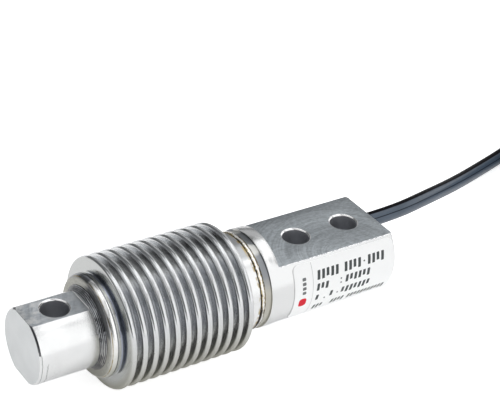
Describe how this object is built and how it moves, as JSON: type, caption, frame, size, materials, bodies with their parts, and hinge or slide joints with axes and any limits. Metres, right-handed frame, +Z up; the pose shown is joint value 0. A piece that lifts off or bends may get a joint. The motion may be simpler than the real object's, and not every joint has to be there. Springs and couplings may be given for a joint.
{
  "type": "bending beam load cell",
  "caption": "Stainless bending beam load cell with a welded metal bellows round its sensing section, vertical bolt holes at both ends and a cable from the rear face.",
  "frame": {"origin": "centre of the two mounting holes, on the lower mounting flat", "axes": "+X along the beam from the load end to the cable end, +Y to the side where the cable leaves, +Z up through the flats, along the holes"},
  "size_m": [0.3027, 0.1103, 0.0398],
  "materials": {
    "beam_steel": "turned and milled stainless steel with fine tool marks",
    "ring_steel": "finely turned stainless steel with a satin face",
    "bellows_steel": "formed thin stainless sheet, satin with bright crests",
    "weld_front": "rippled weld fillet, dark and shiny",
    "weld_rear": "smooth weld bead with light golden heat tint",
    "gauge_film": "amber polyimide film",
    "solder_pads": "tinned copper pads",
    "board_laminate": "green solder resist",
    "resistor_body": "dark coated chips",
    "gland_steel": "machined stainless steel",
    "seal_rubber": "black nitrile rubber",
    "potting_resin": "cast dark resin",
    "label_white": "white foil with thin grey lines and plain blocks of colour",
    "lead_wire": "enamelled copper leads",
    "core_insulation": "smooth core insulation",
    "cable_jacket": "smooth glossy black jacket",
    "tie_nylon": "black nylon",
    "sleeve_shrink": "black shrink sleeve",
    "core_red": "red core insulation",
    "core_black": "black core insulation",
    "core_green": "green core insulation",
    "core_white": "white core insulation",
    "shield_strand": "tinned copper strand"
  },
  "bodies": {
    "root": {"beam_body": "beam_steel", "end_ring": "ring_steel", "bellows": "bellows_steel", "front_weld": "weld_front", "rear_weld": "weld_rear", "strain_gauge_top_front": "gauge_film", "strain_gauge_top_rear": "gauge_film", "strain_gauge_bottom_front": "gauge_film", "strain_gauge_bottom_rear": "gauge_film", "solder_terminals": "solder_pads", "trim_board": "board_laminate", "trim_resistors": "resistor_body", "gland_body": "gland_steel", "gland_seal": "seal_rubber", "gland_nut": "gland_steel", "cable_entry": "cable_jacket", "potting_plug": "potting_resin", "rating_label": "label_white", "gauge_leads": "lead_wire", "inner_cores": "core_insulation", "cable": "cable_jacket", "cable_coil": "cable_jacket", "cable_tail": "cable_jacket", "coil_ties": "tie_nylon", "end_sleeve": "sleeve_shrink", "core_red": "core_red", "core_black": "core_black", "core_green": "core_green", "core_white": "core_white", "shield_wire": "shield_strand"}
  },
  "joints": []
}
